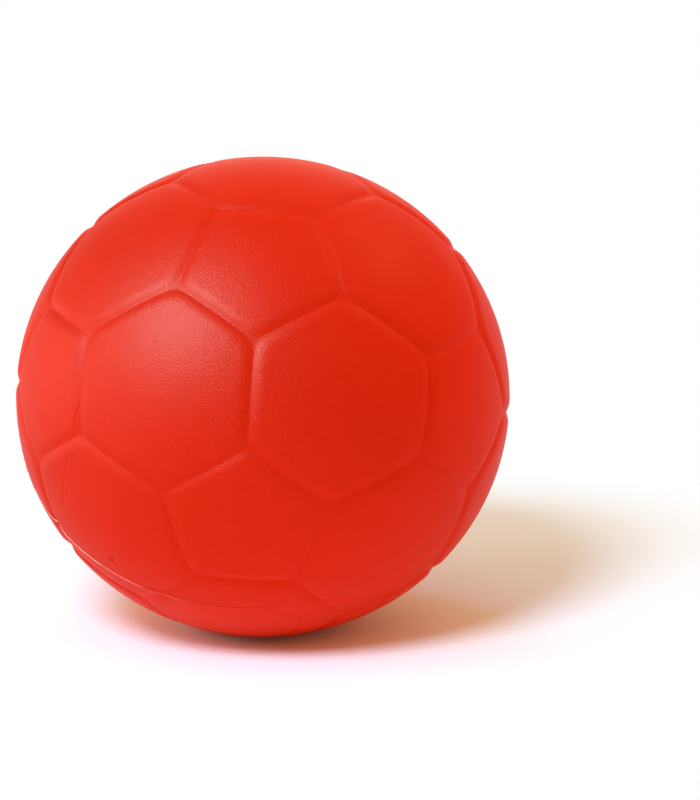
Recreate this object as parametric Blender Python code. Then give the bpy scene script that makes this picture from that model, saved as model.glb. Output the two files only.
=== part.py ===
# Foam soccer ball, moulded in two halves: a soft foam core, a tough grooved skin in two half shells, and the
# thin flash that was squeezed out between the mould halves and runs right round the ball.
# Metres, +Z up. The origin is the middle of the patch that the ball rests on, and -Y is its front.

from math import asin, radians

import bmesh
import bpy
from mathutils import Matrix

# The whole ball, soft enough to settle a little under its own weight
BALL_WIDTH = 0.2000  # across the panels, at mid-height
BALL_HEIGHT = 0.1938  # from the floor to the top
REST_PRESS = 0.0007  # how far the underside is pressed flat

# Panels: an icosahedron with its corners cut off gives 12 pentagons and 20 hexagons
PENTAGON_SHARE = 0.326  # side of a pentagon, as a share of the uncut edge
GROOVE_HALF_WIDTH = 0.0048  # from the bottom of a groove to the flat of a panel
GROOVE_DEPTH = 0.0011

# Skin and flash
SKIN_THICKNESS = 0.0012
FLASH_WIDTH = 0.0006  # the gap that the mould halves left
FLASH_HEIGHT = 0.0004  # how far the trimmed flash stands proud of the panels
CLEARANCE = 0.0003  # between pieces that touch

# How the ball lies, by the axis through one pentagon, and how the mould's own axis leans from that one
PANEL_TILT = radians(46.6)  # of the pentagon's axis, from upright towards the front
PANEL_SWING = radians(-0.3)  # of the tilted axis, towards the right
PANEL_TURN = radians(49.3)  # of the panels, about the axis
MOULD_LEAN = radians(5.8)
MOULD_LEAN_TURN = radians(127.0)  # which way it leans, about the pentagon's axis

# Facets
SKIN_SIDE_STEPS = 4  # straight pieces along one side of a panel, outside
SKIN_GROOVE_RINGS = (0.25, 0.6, 1.0)  # shares of the groove's half width that get a ring of points
CORE_SIDE_STEPS = 3  # the same, on the faces that don't show
CORE_GROOVE_RINGS = (1.0,)
MIDDLE_RING = 0.5  # ring of points around the middle of a panel, as a share of the panel's size
SHARP_ANGLE = radians(50)  # edges bent further than this stay sharp when shaded
ON_FLOOR = 0.00001  # points this near the floor count as on it

# Colours, linear
SKIN_RED = (0.75, 0.034, 0.016, 1.0)
SKIN_ROUGHNESS = 0.5
FOAM_RED = (0.78, 0.115, 0.075, 1.0)
FOAM_ROUGHNESS = 0.9

SKIN_RADIUS = BALL_WIDTH / 2
LINING_RADIUS = SKIN_RADIUS - SKIN_THICKNESS
CORE_RADIUS = LINING_RADIUS - CLEARANCE
HALF_HEIGHT = (BALL_HEIGHT + REST_PRESS) / 2
CENTRE_HEIGHT = BALL_HEIGHT - HALF_HEIGHT
SETTLE = Matrix.Diagonal((1.0, 1.0, HALF_HEIGHT / SKIN_RADIUS, 1.0))
TURN = Matrix.Rotation(PANEL_TURN, 4, "Z")
LIE = Matrix.Rotation(PANEL_SWING, 4, "Z") @ Matrix.Rotation(PANEL_TILT, 4, "X") @ TURN
MOULD = Matrix.Rotation(MOULD_LEAN_TURN, 4, "Z") @ Matrix.Rotation(MOULD_LEAN, 4, "Y")
BEYOND = 1.5 * SKIN_RADIUS  # well clear of the ball


def clear_scene():
    for thing in list(bpy.data.objects):
        bpy.data.objects.remove(thing, do_unlink=True)


def principled(name, colour, roughness):
    material = bpy.data.materials.new(name)
    material.use_nodes = True
    shader = material.node_tree.nodes["Principled BSDF"]
    shader.inputs["Base Color"].default_value = colour
    shader.inputs["Roughness"].default_value = roughness
    shader.inputs["Metallic"].default_value = 0.0
    material.diffuse_color = colour
    return material


def add_piece(name, bm, parent, material=None):
    mesh = bpy.data.meshes.new(name)
    bm.to_mesh(mesh)
    bm.free()
    mesh.shade_smooth()
    mesh.set_sharp_from_angle(angle=SHARP_ANGLE)
    piece = bpy.data.objects.new(name, mesh)
    bpy.context.scene.collection.objects.link(piece)
    piece.parent = parent
    if material:
        mesh.materials.append(material)
    return piece


# The panels, flat: each is one face, with its sides cut into short straight pieces
def flat_panels(radius, side_steps):
    bm = bmesh.new()
    bmesh.ops.create_icosphere(bm, subdivisions=1, radius=radius)
    uncut_edge = max(edge.calc_length() for edge in bm.edges)
    bmesh.ops.bevel(bm, geom=bm.verts[:], offset=PENTAGON_SHARE * uncut_edge, offset_type="OFFSET",
                    affect="VERTICES", segments=1, profile=0.5, clamp_overlap=False)
    bmesh.ops.subdivide_edges(bm, edges=bm.edges[:], cuts=side_steps - 1)
    return bm


# Planes through the middle of the ball and each side of a panel, facing into the panel
def side_planes(panel):
    corners = [vert.co for vert in panel.verts]
    return [a.cross(b).normalized() for a, b in zip(corners, corners[1:] + corners[:1])]


# How deep the groove is at a point, which falls away from its bottom in a round shoulder
def groove_cut(direction, planes):
    from_side = min(asin(max(0.0, direction.dot(plane))) for plane in planes) * SKIN_RADIUS
    share = min(1.0, from_side / GROOVE_HALF_WIDTH)
    return GROOVE_DEPTH * (1.0 - share) ** 2


# A closed surface of grooved panels, turned and settled as the ball lies, around its own middle
def grooved_ball(radius, side_steps, groove_rings, floor):
    bm = flat_panels(radius, side_steps)
    panels = bm.faces[:]
    planes = [side_planes(panel) for panel in panels]
    flat_share = min(vert.co.length for vert in bm.verts) / radius
    cut = {vert: GROOVE_DEPTH for vert in bm.verts}
    reached = 0.0
    for ring in groove_rings:
        step = (ring - reached) * GROOVE_HALF_WIDTH * flat_share
        bmesh.ops.inset_individual(bm, faces=panels, thickness=step, use_even_offset=True)
        for panel, sides in zip(panels, planes):
            for vert in panel.verts:
                cut[vert] = groove_cut(vert.co.normalized(), sides)
        reached = ring
    middles = bmesh.ops.extrude_discrete_faces(bm, faces=panels)["faces"]
    for middle in middles:
        about_middle = Matrix.Translation(-middle.calc_center_median())
        bmesh.ops.scale(bm, vec=[MIDDLE_RING] * 3, space=about_middle, verts=middle.verts)
    bmesh.ops.poke(bm, faces=middles)
    for vert in bm.verts:
        vert.co = vert.co.normalized() * (radius - cut.get(vert, 0.0))
    bmesh.ops.triangulate(bm, faces=bm.faces[:])
    bmesh.ops.transform(bm, matrix=SETTLE @ LIE, verts=bm.verts[:])
    press_flat(bm, floor)
    return bm


# What would lie under the floor is pressed up to it
def press_flat(bm, floor):
    bmesh.ops.bisect_plane(bm, geom=bm.verts[:] + bm.edges[:] + bm.faces[:], dist=ON_FLOOR,
                           plane_co=(0.0, 0.0, floor), plane_no=(0.0, 0.0, 1.0))
    for vert in bm.verts:
        vert.co.z = max(vert.co.z, floor)


def outer_ball(growth=0.0):
    return grooved_ball(SKIN_RADIUS + growth, SKIN_SIDE_STEPS, SKIN_GROOVE_RINGS, -CENTRE_HEIGHT)


def inner_ball(radius, above_floor):
    return grooved_ball(radius, CORE_SIDE_STEPS, CORE_GROOVE_RINGS, above_floor - CENTRE_HEIGHT)


# A block that spans the ball between two heights on the mould axis, to keep one band of the skin
def mould_block(name, low, high, parent):
    bm = bmesh.new()
    size = Matrix.Diagonal((2 * BEYOND, 2 * BEYOND, high - low, 1.0))
    place = Matrix.Translation((0.0, 0.0, (low + high) / 2))
    bmesh.ops.create_cube(bm, size=1.0, matrix=SETTLE @ LIE @ MOULD @ place @ size)
    block = add_piece(name, bm, parent)
    block.hide_render = True
    block.display_type = "WIRE"
    return block


# One band of the hollow skin: the part of it that lies between two heights on the mould axis
def skin_band(name, low, high, parent, material, growth=0.0):
    bm = outer_ball(growth)
    lining = bpy.data.meshes.new("lining")
    hollow = inner_ball(LINING_RADIUS, SKIN_THICKNESS)
    bmesh.ops.reverse_faces(hollow, faces=hollow.faces[:])
    hollow.to_mesh(lining)
    hollow.free()
    bm.from_mesh(lining)
    bpy.data.meshes.remove(lining)
    band = add_piece(name, bm, parent, material)
    keep = band.modifiers.new("mould_half", "BOOLEAN")
    keep.operation = "INTERSECT"
    keep.solver = "EXACT"
    keep.object = mould_block(name + "_block", low, high, parent)
    return band


def build_ball():
    clear_scene()
    skin_red = principled("red_pu_skin", SKIN_RED, SKIN_ROUGHNESS)
    foam_red = principled("red_pu_foam", FOAM_RED, FOAM_ROUGHNESS)

    centre = bpy.data.objects.new("ball_centre", None)
    centre.location.z = CENTRE_HEIGHT
    bpy.context.scene.collection.objects.link(centre)

    half_flash = FLASH_WIDTH / 2
    rim = half_flash + CLEARANCE
    add_piece("foam_core", inner_ball(CORE_RADIUS, SKIN_THICKNESS + CLEARANCE), centre, foam_red)
    skin_band("upper_skin_half", rim, BEYOND, centre, skin_red)
    skin_band("lower_skin_half", -BEYOND, -rim, centre, skin_red)
    skin_band("parting_flash", -half_flash, half_flash, centre, skin_red, FLASH_HEIGHT)


build_ball()
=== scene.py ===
from math import cos, pi, radians, sin

import bpy
import numpy as np
from mathutils import Matrix, Vector


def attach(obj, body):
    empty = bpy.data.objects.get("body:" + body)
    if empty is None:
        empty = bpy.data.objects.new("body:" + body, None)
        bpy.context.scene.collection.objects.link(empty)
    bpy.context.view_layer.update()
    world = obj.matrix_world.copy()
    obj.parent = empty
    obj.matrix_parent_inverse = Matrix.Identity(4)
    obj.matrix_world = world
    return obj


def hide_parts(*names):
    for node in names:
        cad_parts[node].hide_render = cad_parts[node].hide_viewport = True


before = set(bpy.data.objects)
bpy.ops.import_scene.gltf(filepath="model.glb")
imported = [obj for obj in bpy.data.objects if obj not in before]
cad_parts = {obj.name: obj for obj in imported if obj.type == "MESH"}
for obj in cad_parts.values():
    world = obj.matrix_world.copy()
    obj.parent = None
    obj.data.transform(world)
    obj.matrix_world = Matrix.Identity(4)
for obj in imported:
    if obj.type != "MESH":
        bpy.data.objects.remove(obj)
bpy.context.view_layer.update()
scene = bpy.context.scene
scene.view_settings.view_transform = "Standard"
print("frame loaded:", sorted(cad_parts))

# Sizes and lie of the whole ball, as in the part itself, in metres and degrees
ball = {
    "width": 0.2000,
    "height": 0.1938,
    "restPress": 0.0007,  # the soft underside is pressed flat by this much
    "pressRound": 0.0002,  # the edge of the flat patch rounds off over this height
    "pentagonShare": 0.326,  # side of a pentagon, as a share of the uncut edge
    "grooveHalfWidth": 0.0048,
    "grooveDepth": 0.0011,
    "grooveBottom": 0.0004,  # radius at the bottom of a groove
    "cornerRound": 0.0016,  # how softly two grooves run together at a corner
    "panelTilt": 46.6,  # of one pentagon's axis, from upright towards the front
    "panelSwing": -0.3,  # of the tilted axis, towards the right
    "panelTurn": 49.3,  # of the panels, about that axis
    "mouldLean": 5.8,  # of the mould axis, away from the pentagon's
    "mouldLeanTurn": 127.0,  # which way it leans
}
radius = ball["width"] / 2
halfHeight = (ball["height"] + ball["restPress"]) / 2
centre = np.array([0.0, 0.0, ball["height"] - halfHeight])
touching = 1e-6  # points this near are one point, or lie on one panel
onCut = 1e-7  # points this near a cut count as on it


def turn(axis, degrees):
    return np.array(Matrix.Rotation(radians(degrees), 3, axis))


panelsToMould = (turn("Z", ball["mouldLeanTurn"]) @ turn("Y", ball["mouldLean"])).T
lie = turn("Z", ball["panelSwing"]) @ turn("X", ball["panelTilt"]) @ turn("Z", ball["panelTurn"])
settle = np.diag([1.0, 1.0, halfHeight / radius])
mouldToFloor = settle @ lie @ panelsToMould.T


def readPoints(piece):
    points = np.empty(len(piece.data.vertices) * 3)
    piece.data.vertices.foreach_get("co", points)
    return points.reshape(-1, 3)


def writePoints(piece, points):
    piece.data.vertices.foreach_set("co", np.asarray(points, np.float32).ravel())
    piece.data.update()


def unit(rows):
    return rows / np.linalg.norm(rows, axis=1, keepdims=True)


def editAll():
    bpy.ops.object.mode_set(mode="EDIT")
    bpy.ops.mesh.select_all(action="SELECT")


# A ball of 12 pentagons and 20 hexagons: an icosahedron with its corners cut off, each panel then cut fine.
# Rows of points follow the sides of each panel and crowd towards the grooves.
def addPanelBall(name, cuts, crowding):
    bpy.ops.object.select_all(action="DESELECT")
    bpy.ops.mesh.primitive_ico_sphere_add(subdivisions=1, radius=radius)
    piece = bpy.context.object
    piece.name = name
    ends = [[piece.data.vertices[i].co for i in edge.vertices] for edge in piece.data.edges]
    uncutEdge = max((a - b).length for a, b in ends)
    editAll()
    bpy.ops.mesh.bevel(affect="VERTICES", offset_type="OFFSET", offset=ball["pentagonShare"] * uncutEdge,
                       segments=1, clamp_overlap=False)
    bpy.ops.object.mode_set(mode="OBJECT")
    corners = readPoints(piece)
    panels = [(corners[list(face.vertices)], np.array(face.normal)) for face in piece.data.polygons]
    editAll()
    bpy.ops.mesh.poke()
    bpy.ops.mesh.subdivide(number_cuts=cuts)
    bpy.ops.object.mode_set(mode="OBJECT")

    flat = readPoints(piece)
    crowded = flat.copy()
    sides = []  # planes through the middle of the ball and each side of a panel
    for ring, normal in panels:
        after = np.roll(ring, -1, axis=0)
        middle = ring.mean(axis=0)
        outward = unit(np.cross(after - ring, normal))
        reach = ((ring - middle) * outward).sum(axis=1)
        on = np.abs((flat - middle) @ normal) < touching
        share = ((flat[on] - middle) @ outward.T / reach).max(axis=1)  # 0 in the middle, 1 at a side
        newShare = 1.0 - np.clip(1.0 - share, 0.0, 1.0) ** crowding
        grow = np.where(share > touching, newShare / np.maximum(share, touching), 1.0)
        crowded[on] = middle + (flat[on] - middle) * grow[:, None]
        sides.append(unit(np.cross(ring, after)) @ panelsToMould.T)
    writePoints(piece, unit(crowded) @ panelsToMould.T * radius)
    return piece, sides


# Distance from each direction to the nearest side of its panel, rounded off where two sides meet
def sideDistance(directions, sides):
    nearest = np.full(len(directions), -1.0)
    rounded = np.zeros(len(directions))
    soft = ball["cornerRound"]
    for planes in sides:
        arcs = np.arcsin(np.clip(directions @ planes.T, -1.0, 1.0)) * radius
        inside = arcs.min(axis=1)
        here = inside > nearest
        nearest[here] = inside[here]
        together = np.exp((inside[here, None] - arcs[here]) / soft).sum(axis=1)
        rounded[here] = inside[here] - soft * np.log(together)
    return np.maximum(rounded, 0.0)


def grooveCut(directions, sides):
    away = sideDistance(directions, sides)
    bottom = ball["grooveBottom"]
    share = (np.sqrt(away ** 2 + bottom ** 2) - bottom) / ball["grooveHalfWidth"]
    return ball["grooveDepth"] * np.clip(1.0 - share, 0.0, None) ** 2


# From the mould to the floor: turned, settled a little under its weight and pressed flat underneath
def layDown(points, ground=0.0):
    laid = points @ mouldToFloor.T + centre
    low = laid[:, 2] - ground
    laid[:, 2] = ground + (low + np.sqrt(low ** 2 + ball["pressRound"] ** 2)) / 2
    return laid


# Slow, smooth unevenness around the mould axis, from -1 to 1
def wander(around, waves):
    total = sum(np.sin(around * turns + start) for turns, start in waves)
    return total / len(waves)


# Where the parting line is open, from 0 to 1: plain to see on the left of the front, and closed up elsewhere
seam = {
    "openAround": ((50.0, 28.0, 54.0), (248.0, 20.0, 50.0)),  # middle, and where its closing starts and ends
    "lipWaves": ((3, 0.4), (7, 2.1), (17, 4.0), (41, 1.0)),  # turns around the ball, and where each starts
}


def openness(around):
    share = np.zeros_like(around)
    for middle, closing, closed in seam["openAround"]:
        apart = np.abs((np.degrees(around) - middle + 180.0) % 360.0 - 180.0)
        fade = np.clip((apart - closing) / (closed - closing), 0.0, 1.0)
        share = np.maximum(share, 1.0 - fade * fade * (3.0 - 2.0 * fade))
    return share


# The two halves of the moulded skin
skin = {
    "cuts": 27,
    "crowding": 1.5,
    "thickness": 0.0012,
    "rim": 0.00033,  # where each half stops, from the parting plane
    "seamRows": (0.0002, 0.0005, 0.001, 0.002, 0.004, 0.008),  # extra rows of points, from the rim
    "upperRoll": 0.00006,  # how far the upper rim rolls in, and over what length
    "upperRollLength": 0.0004,
    "lowerProud": 0.00016,  # how far the lower half stands proud of the upper, and over what length
    "lowerProudLength": 0.004,
    "lipSway": 0.35,  # how uneven that step is
    "sharpAngle": 40.0,
}


def lowerStep(height, around):
    sway = 1.0 + skin["lipSway"] * wander(around, seam["lipWaves"])
    return skin["lowerProud"] * openness(around) * sway * np.exp(-height / skin["lowerProudLength"])


# Air that was caught against the mould left small pits, and a fold in the skin a hairline crease.
# Each is a line of places, in degrees around the mould axis and up from the parting plane.
marks = {
    "pits": (((48.1, 18.8),), ((57.6, 6.8), (58.3, 5.9)), ((77.7, -18.7),), ((101.5, -8.2),), ((119.3, 1.2),),
             ((205.0, 24.0),), ((262.0, -15.0),), ((318.0, 38.0),), ((290.0, -41.0),)),
    "pitSize": 0.0008,
    "pitDepth": 0.0007,
    "faintPits": (((66.8, 1.3), (70.6, 1.9)), ((58.0, 35.7),), ((47.1, 64.1),), ((173.9, 64.4),),
                  ((230.0, 52.0),)),
    "faintPitSize": 0.0008,
    "faintPitDepth": 0.00025,
    "creases": (((35.9, 40.0), (38.6, 33.6), (40.6, 26.3), (41.3, 20.4), (41.9, 13.9), (41.9, 1.2)),),
    "creaseSize": 0.00035,
    "creaseDepth": 0.00028,
    "fineReach": 2.5,  # the mesh is cut finer for this many sizes around a mark, and a margin more
    "fineMargin": 0.0012,
    "fineCuts": 3,
}


def mouldPlace(spot):
    around, lift = np.radians(spot[0]), np.radians(spot[1])
    return radius * np.array([cos(around) * cos(lift), sin(around) * cos(lift), sin(lift)])


def lineDistance(points, line):
    places = [mouldPlace(spot) for spot in line]
    away = np.linalg.norm(points - places[0], axis=1)
    for start, end in zip(places, places[1:]):
        stretch = end - start
        along = np.clip((points - start) @ stretch / (stretch @ stretch), 0.0, 1.0)
        away = np.minimum(away, np.linalg.norm(points - start - along[:, None] * stretch, axis=1))
    return away


def mouldPoints(piece):
    return (readPoints(piece) - centre) @ np.linalg.inv(mouldToFloor).T


def onOutside(points):
    return np.linalg.norm(points, axis=1) > radius - ball["grooveDepth"] - skin["thickness"] / 2


def press(piece, line, size, depth):
    points = mouldPoints(piece)
    reach = marks["fineReach"] * size + marks["fineMargin"]
    near = onOutside(points) & (lineDistance(unit(points) * radius, line) < reach)
    for parts in (piece.data.edges, piece.data.polygons):
        parts.foreach_set("select", np.zeros(len(parts), bool))
    piece.data.vertices.foreach_set("select", near)
    bpy.ops.object.mode_set(mode="EDIT")
    bpy.ops.mesh.subdivide(number_cuts=marks["fineCuts"])
    bpy.ops.object.mode_set(mode="OBJECT")
    points = mouldPoints(piece)
    away = lineDistance(unit(points) * radius, line)
    dip = depth * np.exp(-(away / size) ** 2) * onOutside(points)
    writePoints(piece, (points - unit(points) * dip[:, None]) @ mouldToFloor.T + centre)


def addSkinHalf(name, up):
    piece, sides = addPanelBall(name, skin["cuts"], skin["crowding"])
    editAll()
    bpy.ops.mesh.bisect(plane_co=(0, 0, up * skin["rim"]), plane_no=(0, 0, up), clear_inner=True,
                        threshold=onCut)
    for row in skin["seamRows"]:
        bpy.ops.mesh.select_all(action="SELECT")
        bpy.ops.mesh.bisect(plane_co=(0, 0, up * (skin["rim"] + row)), plane_no=(0, 0, up), threshold=onCut)
    bpy.ops.object.mode_set(mode="OBJECT")

    points = readPoints(piece)
    directions = unit(points)
    around = np.arctan2(directions[:, 1], directions[:, 0])
    height = np.maximum(np.abs(points[:, 2]) - skin["rim"], 0.0)
    reach = radius - grooveCut(directions, sides)
    if up > 0:
        reach = reach - skin["upperRoll"] * openness(around) * np.exp(-height / skin["upperRollLength"])
    else:
        reach = reach + lowerStep(height, around)
    writePoints(piece, layDown(directions * reach[:, None]))

    wall = piece.modifiers.new("wall", "SOLIDIFY")
    wall.thickness = skin["thickness"]
    wall.offset = -1.0
    bpy.ops.object.modifier_apply(modifier=wall.name)
    for kind in ("pit", "faintPit", "crease"):
        for line in marks[kind + "s"]:
            if line[-1][1] * up > 0:
                press(piece, line, marks[kind + "Size"], marks[kind + "Depth"])
    editAll()
    bpy.ops.mesh.quads_convert_to_tris()
    bpy.ops.object.mode_set(mode="OBJECT")
    bpy.ops.object.shade_smooth_by_angle(angle=radians(skin["sharpAngle"]))
    print(name, "faces:", len(piece.data.polygons))
    return piece


upperSkin = addSkinHalf("upperSkinHalf", 1)
lowerSkin = addSkinHalf("lowerSkinHalf", -1)

# The flash: a thin bead squeezed out along the parting line and trimmed by hand, so it isn't even
flash = {
    "segments": 1500,
    "around": 12,  # points around the bead
    "halfWidth": 0.0003,
    "depth": 0.0008,  # from its crest to its root between the two halves
    "square": 0.45,  # 1 gives a round bead, less a squarer one
    "proud": 0.00012,  # above the lip of the lower half, where the line is open
    "trimLevel": 0.8,  # shares of that height which are left everywhere, and which come and go
    "trimSway": 1.8,
    "trimWaves": ((11, 0.3), (29, 1.7), (67, 2.9), (131, 5.1), (223, 0.8)),
}


def addFlash(name, sides):
    bpy.ops.object.select_all(action="DESELECT")
    bpy.ops.mesh.primitive_circle_add(vertices=flash["around"], radius=flash["halfWidth"],
                                      location=(radius, 0, 0), rotation=(pi / 2, 0, 0))
    piece = bpy.context.object
    piece.name = name
    bpy.ops.object.transform_apply(location=True, rotation=True, scale=True)
    editAll()
    bpy.ops.mesh.spin(steps=flash["segments"], angle=2 * pi, center=(0, 0, 0), axis=(0, 0, 1))
    bpy.ops.mesh.select_all(action="SELECT")
    bpy.ops.mesh.remove_doubles(threshold=touching)
    bpy.ops.mesh.normals_make_consistent(inside=False)
    bpy.ops.object.mode_set(mode="OBJECT")

    points = readPoints(piece)
    around = np.arctan2(points[:, 1], points[:, 0])
    ring = np.stack([np.cos(around), np.sin(around), np.zeros(len(around))], axis=1)
    rise = np.hypot(points[:, 0], points[:, 1]) - radius
    across = np.stack([rise, points[:, 2]], axis=1) / flash["halfWidth"]
    outward, side = (np.sign(across) * np.abs(across) ** flash["square"]).T  # outward is 1 at the crest
    left = flash["trimLevel"] + flash["trimSway"] * wander(around, flash["trimWaves"])
    trim = flash["proud"] * openness(around) * left
    crest = radius - grooveCut(ring, sides) + lowerStep(0.0, around) + trim
    reach = crest - (1.0 - outward) / 2 * flash["depth"]
    laid = ring * reach[:, None]
    laid[:, 2] = side * flash["halfWidth"]
    writePoints(piece, layDown(laid))
    bpy.ops.object.shade_smooth()
    print(name, "faces:", len(piece.data.polygons))
    return piece


# The foam body under the skin
core = {
    "cuts": 12,
    "crowding": 1.3,
    "clearance": 0.0003,
    "cellRise": 0.00012,  # the open cells leave its face slightly rough
    "cellWaves": ((311.0, 173.0, 241.0), (-197.0, 283.0, 139.0)),  # two ripples, in radians along x, y and z
}


def addCore(name):
    piece, sides = addPanelBall(name, core["cuts"], core["crowding"])
    directions = unit(readPoints(piece))
    first, second = [np.sin(directions @ np.array(wave)) for wave in core["cellWaves"]]
    under = skin["thickness"] + core["clearance"]
    inset = under + core["cellRise"]
    reach = radius - grooveCut(directions, sides) - inset + core["cellRise"] * (first * second)
    writePoints(piece, layDown(directions * reach[:, None], under))
    bpy.ops.object.shade_smooth()
    print(name, "faces:", len(piece.data.polygons))
    return piece, sides


foamCore, panelSides = addCore("foamCore")
partingFlash = addFlash("partingFlash", panelSides)


def linear(code):
    parts = [int(code[i:i + 2], 16) / 255 for i in (1, 3, 5)]
    return tuple(p / 12.92 if p <= 0.04045 else ((p + 0.055) / 1.055) ** 2.4 for p in parts) + (1.0,)


def addNode(tree, kind, settings=None, links=None):
    node = tree.nodes.new(kind)
    for key, value in (settings or {}).items():
        if isinstance(key, int) or key in node.inputs:
            node.inputs[key].default_value = value
        else:
            setattr(node, key, value)
    for socket, source in (links or {}).items():
        tree.links.new(source, node.inputs[socket])
    return node


def newMaterial(name):
    material = bpy.data.materials.new(name)
    material.use_nodes = True
    material.node_tree.nodes.clear()
    return material, material.node_tree


firstColour, secondColour, mixedColour = 6, 7, 2  # sockets of a Mix node that mixes colours

# Integral-skin polyurethane, dyed through and cast against a finely blasted mould: a dense satin red with a
# crinkled grain, a little under a millimetre across, that only shows where a lamp glances off it.
# The lower mould half was polished smoother, and the squeezed flash has no grain and catches small glints.
upperFinish = {
    "red": "#E2290A",
    "deepRed": "#DF2609",
    "roughness": 0.43,
    "ior": 1.5,
    "shine": 0.034,  # a matt dye-filled skin mirrors less than clear plastic
    "grain": 0.0007,
    "grainDepth": 0.00022,
    "grainDetail": 2.0,
    "grainMix": 0.6,  # how strong the finer detail is
    "sway": 0.011,  # the skin is slightly uneven over this length
    "swayDepth": 0.00012,
    "swayDetail": 1.0,
}
lowerFinish = dict(upperFinish, roughness=0.40, shine=0.026, grainDepth=0.00005)
flashFinish = dict(upperFinish, roughness=0.32, shine=0.10, grainDepth=0.00002)


def skinMaterial(name, finish):
    material, tree = newMaterial(name)
    place = addNode(tree, "ShaderNodeTexCoord").outputs["Object"]
    grain = addNode(tree, "ShaderNodeTexNoise",
                    {"Scale": 1 / finish["grain"], "Detail": finish["grainDetail"],
                     "Roughness": finish["grainMix"]}, {"Vector": place})
    sway = addNode(tree, "ShaderNodeTexNoise",
                   {"Scale": 1 / finish["sway"], "Detail": finish["swayDetail"]}, {"Vector": place})
    swayBump = addNode(tree, "ShaderNodeBump", {"Distance": finish["swayDepth"]},
                       {"Height": sway.outputs["Fac"]})
    bump = addNode(tree, "ShaderNodeBump", {"Distance": finish["grainDepth"]},
                   {"Height": grain.outputs["Fac"], "Normal": swayBump.outputs["Normal"]})
    tone = addNode(tree, "ShaderNodeMix",
                   {"data_type": "RGBA", firstColour: linear(finish["red"]),
                    secondColour: linear(finish["deepRed"])}, {"Factor": sway.outputs["Fac"]})
    shader = addNode(tree, "ShaderNodeBsdfPrincipled",
                     {"Roughness": finish["roughness"], "IOR": finish["ior"],
                      "Specular IOR Level": finish["shine"]},
                     {"Base Color": tone.outputs[mixedColour], "Normal": bump.outputs["Normal"]})
    addNode(tree, "ShaderNodeOutputMaterial", None, {"Surface": shader.outputs["BSDF"]})
    return material


# Flexible polyurethane foam: a matt, paler red, with painted shade that darkens the hollow middle of each
# open cell. Its cells of about half a millimetre are drawn twice that size, or they wouldn't show.
foamFinish = {
    "red": "#E0604A",
    # painted shade: the darker red of the hollow middle of a cell
    "cellShadeRed": "#A82A18",
    "roughness": 0.9,
    "ior": 1.5,
    "shine": 0.10,
    "cell": 0.0010,
    "cellDepth": 0.00035,
    "wallFrom": 0.15,  # where the wall of a cell starts to rise and is full, from the middle of the cell
    "wallTo": 0.65,
}


def foamMaterial(name, finish):
    material, tree = newMaterial(name)
    place = addNode(tree, "ShaderNodeTexCoord").outputs["Object"]
    cells = addNode(tree, "ShaderNodeTexVoronoi", {"Scale": 1 / finish["cell"]}, {"Vector": place})
    wall = addNode(tree, "ShaderNodeMapRange",
                   {"interpolation_type": "SMOOTHSTEP", "From Min": finish["wallFrom"],
                    "From Max": finish["wallTo"]}, {"Value": cells.outputs["Distance"]}).outputs[0]
    # painted shade: towards the middle of each cell the colour mixes to the darker red
    tone = addNode(tree, "ShaderNodeMix",
                   {"data_type": "RGBA", firstColour: linear(finish["cellShadeRed"]),
                    secondColour: linear(finish["red"])}, {"Factor": wall})
    bump = addNode(tree, "ShaderNodeBump", {"Distance": finish["cellDepth"]}, {"Height": wall})
    shader = addNode(tree, "ShaderNodeBsdfPrincipled",
                     {"Roughness": finish["roughness"], "IOR": finish["ior"],
                      "Specular IOR Level": finish["shine"]},
                     {"Base Color": tone.outputs[mixedColour], "Normal": bump.outputs["Normal"]})
    addNode(tree, "ShaderNodeOutputMaterial", None, {"Surface": shader.outputs["BSDF"]})
    return material


def give(piece, material, node):
    piece.data.materials.clear()
    piece.data.materials.append(material)
    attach(piece, "root")
    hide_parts(node)


give(upperSkin, skinMaterial("blastedPolyurethaneSkin", upperFinish), "upper_skin_half")
give(lowerSkin, skinMaterial("smoothPolyurethaneSkin", lowerFinish), "lower_skin_half")
give(partingFlash, skinMaterial("polyurethaneFlash", flashFinish), "parting_flash")
give(foamCore, foamMaterial("polyurethaneFoam", foamFinish), "foam_core")
print("materials given")


# 1 for what the eye and reflections see, 0 for the light that a surface sends to the ball
def seenDirectly(tree):
    path = addNode(tree, "ShaderNodeLightPath").outputs
    mirrored = addNode(tree, "ShaderNodeMath", {"operation": "MAXIMUM"},
                       {0: path["Is Camera Ray"], 1: path["Is Glossy Ray"]})
    seen = addNode(tree, "ShaderNodeMath", {"operation": "MAXIMUM"},
                   {0: mirrored.outputs[0], 1: path["Is Transmission Ray"]})
    return seen.outputs[0]


# Floor: a matt white sweep, seen brighter than it lights the ball, so that it is white to the eye and keeps a
# soft, warm shadow. Further from the shadow's middle it is plain white, painted light that also whitens the
# outer parts of the cast shadow.
floor = {
    "size": 16.0,
    "paint": "#FAFAFA",
    "seenAs": (1.11, 1.13, 1.10),  # paint that the eye and reflections see
    "shadowMiddle": (0.092, 0.045, 0.0),
    "whiteFrom": (0.14, 0.26),  # distances from there at which plain white starts and is full
}
bpy.ops.object.select_all(action="DESELECT")
bpy.ops.mesh.primitive_plane_add(size=floor["size"])
floorPlane = bpy.context.object
floorPlane.name = "floor"
floorPaint, tree = newMaterial("mattWhiteFloor")
place = addNode(tree, "ShaderNodeTexCoord").outputs["Object"]
seen = seenDirectly(tree)
tint = addNode(tree, "ShaderNodeMix",
               {"data_type": "RGBA", firstColour: linear(floor["paint"]),
                secondColour: floor["seenAs"] + (1.0,)}, {"Factor": seen})
near = addNode(tree, "ShaderNodeBsdfDiffuse", None, {"Color": tint.outputs[mixedColour]})
plain = addNode(tree, "ShaderNodeEmission", {"Strength": 1.0})
away = addNode(tree, "ShaderNodeVectorMath", {"operation": "DISTANCE", 1: floor["shadowMiddle"]}, {0: place})
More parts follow.
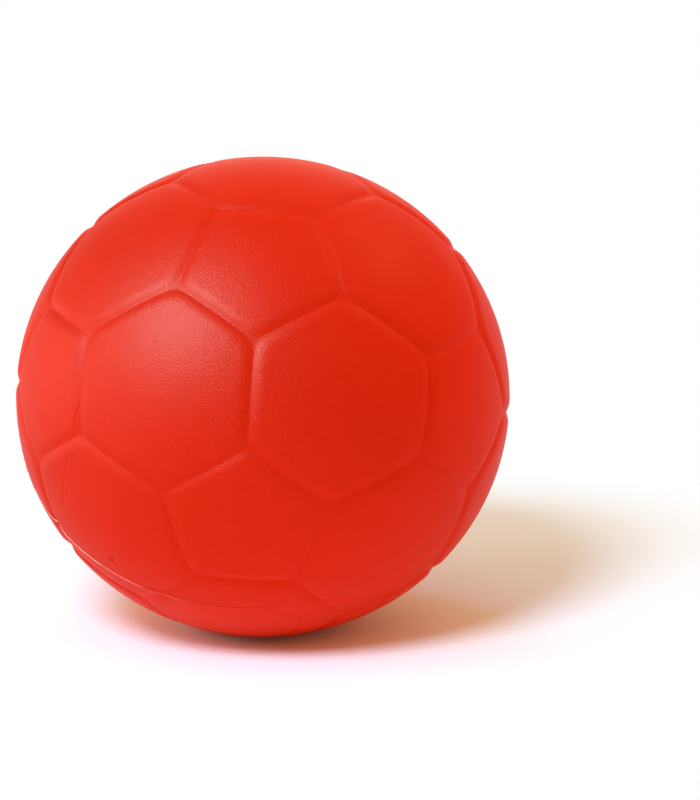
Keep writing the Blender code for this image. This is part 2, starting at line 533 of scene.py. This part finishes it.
fade = addNode(tree, "ShaderNodeMapRange",
               {"interpolation_type": "SMOOTHSTEP", "From Min": floor["whiteFrom"][0],
                "From Max": floor["whiteFrom"][1]}, {"Value": away.outputs["Value"]})
# painted light: past whiteFrom the eye sees plain white, also where the cast shadow would still fall
white = addNode(tree, "ShaderNodeMath", {"operation": "MULTIPLY"}, {0: fade.outputs[0], 1: seen})
mix = addNode(tree, "ShaderNodeMixShader", None,
              {0: white.outputs[0], 1: near.outputs[0], 2: plain.outputs[0]})
addNode(tree, "ShaderNodeOutputMaterial", None, {"Surface": mix.outputs[0]})
floorPlane.data.materials.append(floorPaint)

# Camera: a little above the ball, about 1.3 m away, with the ball left of the middle
view = {
    "rise": 11.0,
    "distance": 1.298,
    "lens": 143.65,
    "sensor": 36.0,
    "ballAt": (263.4, 396.1),  # middle of the ball in the frame
    "frame": (700, 800),
}
pixelLens = view["lens"] / view["sensor"] * max(view["frame"])
back = Vector((0.0, -cos(radians(view["rise"])), sin(radians(view["rise"]))))
upward = back.cross(Vector((1.0, 0.0, 0.0)))
middle = Vector(centre)
aimRight = (view["frame"][0] / 2 - view["ballAt"][0]) / pixelLens * view["distance"]
aimUp = (view["ballAt"][1] - view["frame"][1] / 2) / pixelLens * view["distance"]
target = middle + Vector((aimRight, 0.0, 0.0)) + upward * aimUp
camera = bpy.data.objects.new("camera", bpy.data.cameras.new("camera"))
scene.collection.objects.link(camera)
camera.data.lens = view["lens"]
camera.location = middle + back * view["distance"]
camera.rotation_euler = (target - camera.location).to_track_quat("-Z", "Y").to_euler()
scene.camera = camera

# Light: a soft key on the left shades the ball, with lamps of their own for its gloss. Others light the floor
# alone and lay the shadow on it, and weak ones fill the ball from the right and behind. The room is warm.
lamps = {
    "key": {"around": 302.0, "rise": 42.0, "distance": 0.70, "size": 0.36,
            "level": (0.27, 0.40, 0.38), "lights": "ball", "only": "diffuse"},
    "gloss": {"around": 314.0, "rise": 40.5, "distance": 0.70, "size": 0.26,
              "level": (8.2, 9.0, 8.4), "lights": "ball", "only": "gloss"},
    "leftGloss": {"around": 272.0, "rise": 0.0, "distance": 1.0, "size": 1.2,
                  "level": (2.7, 3.3, 3.0), "lights": "ball", "only": "gloss"},
    "shadow": {"around": 337.0, "rise": 40.0, "distance": 1.5, "size": 0.50,
               "level": (0.54, 0.78, 1.08), "lights": "floor"},
    "under": {"around": 284.0, "rise": 20.0, "distance": 1.4, "size": 0.6,
              "level": (0.20, 0.18, 0.20), "lights": "floor"},
    "overhead": {"around": 195.0, "rise": 68.0, "distance": 1.5, "size": 0.5,
                 "level": (0.0, 0.04, 0.12), "lights": "floor"},
    "side": {"around": 110.0, "rise": 50.0, "distance": 1.2, "size": 0.4,
             "level": (0.36, 0.34, 0.20), "lights": "ball"},
    "back": {"around": 180.0, "rise": 25.0, "distance": 1.6, "size": 1.2,
             "level": (0.12, 0.12, 0.10), "lights": "ball"},
}
room = {
    "above": (0.67, 0.54, 0.33),
    "level": (0.63, 0.375, 0.17),
    "aboveFrom": 0.9,  # height of the direction, as a share, from which the colour is the one above
    "whiteTo": (0.15, 0.25),  # low down the eye and reflections see plain white, which ends between these
}
lit = {"ball": (upperSkin, lowerSkin, partingFlash, foamCore), "floor": (floorPlane,)}


def addLamp(name, settings):
    around, rise = radians(settings["around"]), radians(settings["rise"])
    toward = Vector((sin(around) * cos(rise), -cos(around) * cos(rise), sin(rise)))
    light = bpy.data.lights.new(name, "AREA")
    light.shape = "DISK"
    light.size = settings["size"]
    most = max(settings["level"])
    light.color = [part / most for part in settings["level"]]
    light.energy = (pi * settings["distance"]) ** 2 * most  # at level 1 a white card facing the lamp is white
    lamp = bpy.data.objects.new(name, light)
    scene.collection.objects.link(lamp)
    lamp.location = middle + toward * settings["distance"]
    lamp.rotation_euler = (-toward).to_track_quat("-Z", "Y").to_euler()
    lamp.visible_camera = False
    lamp.visible_diffuse = settings.get("only") != "gloss"
    lamp.visible_glossy = settings.get("only") != "diffuse"
    group = bpy.data.collections.new(name + "Lights")
    for thing in lit[settings["lights"]]:
        group.objects.link(thing)
    lamp.light_linking.receiver_collection = group


for name, settings in lamps.items():
    addLamp(name, settings)

world = bpy.data.worlds.new("room")
scene.world = world
world.use_nodes = True
tree = world.node_tree
tree.nodes.clear()
toward = addNode(tree, "ShaderNodeTexCoord").outputs["Generated"]
height = addNode(tree, "ShaderNodeSeparateXYZ", None, {0: toward}).outputs["Z"]
rise = addNode(tree, "ShaderNodeMapRange", {"From Max": room["aboveFrom"]}, {"Value": height}).outputs[0]
tint = addNode(tree, "ShaderNodeMix",
               {"data_type": "RGBA", firstColour: room["level"] + (1.0,),
                secondColour: room["above"] + (1.0,)}, {"Factor": rise})
glow = addNode(tree, "ShaderNodeBackground", {"Strength": 1.0}, {"Color": tint.outputs[mixedColour]})
plain = addNode(tree, "ShaderNodeBackground", {"Color": (1.0, 1.0, 1.0, 1.0), "Strength": 1.0})
low = addNode(tree, "ShaderNodeMapRange", {"From Min": room["whiteTo"][1], "From Max": room["whiteTo"][0]},
              {"Value": height})
white = addNode(tree, "ShaderNodeMath", {"operation": "MULTIPLY"}, {0: seenDirectly(tree), 1: low.outputs[0]})
sky = addNode(tree, "ShaderNodeMixShader", None,
              {0: white.outputs[0], 1: glow.outputs[0], 2: plain.outputs[0]})
addNode(tree, "ShaderNodeOutputWorld", None, {"Surface": sky.outputs[0]})
print("light and camera set")
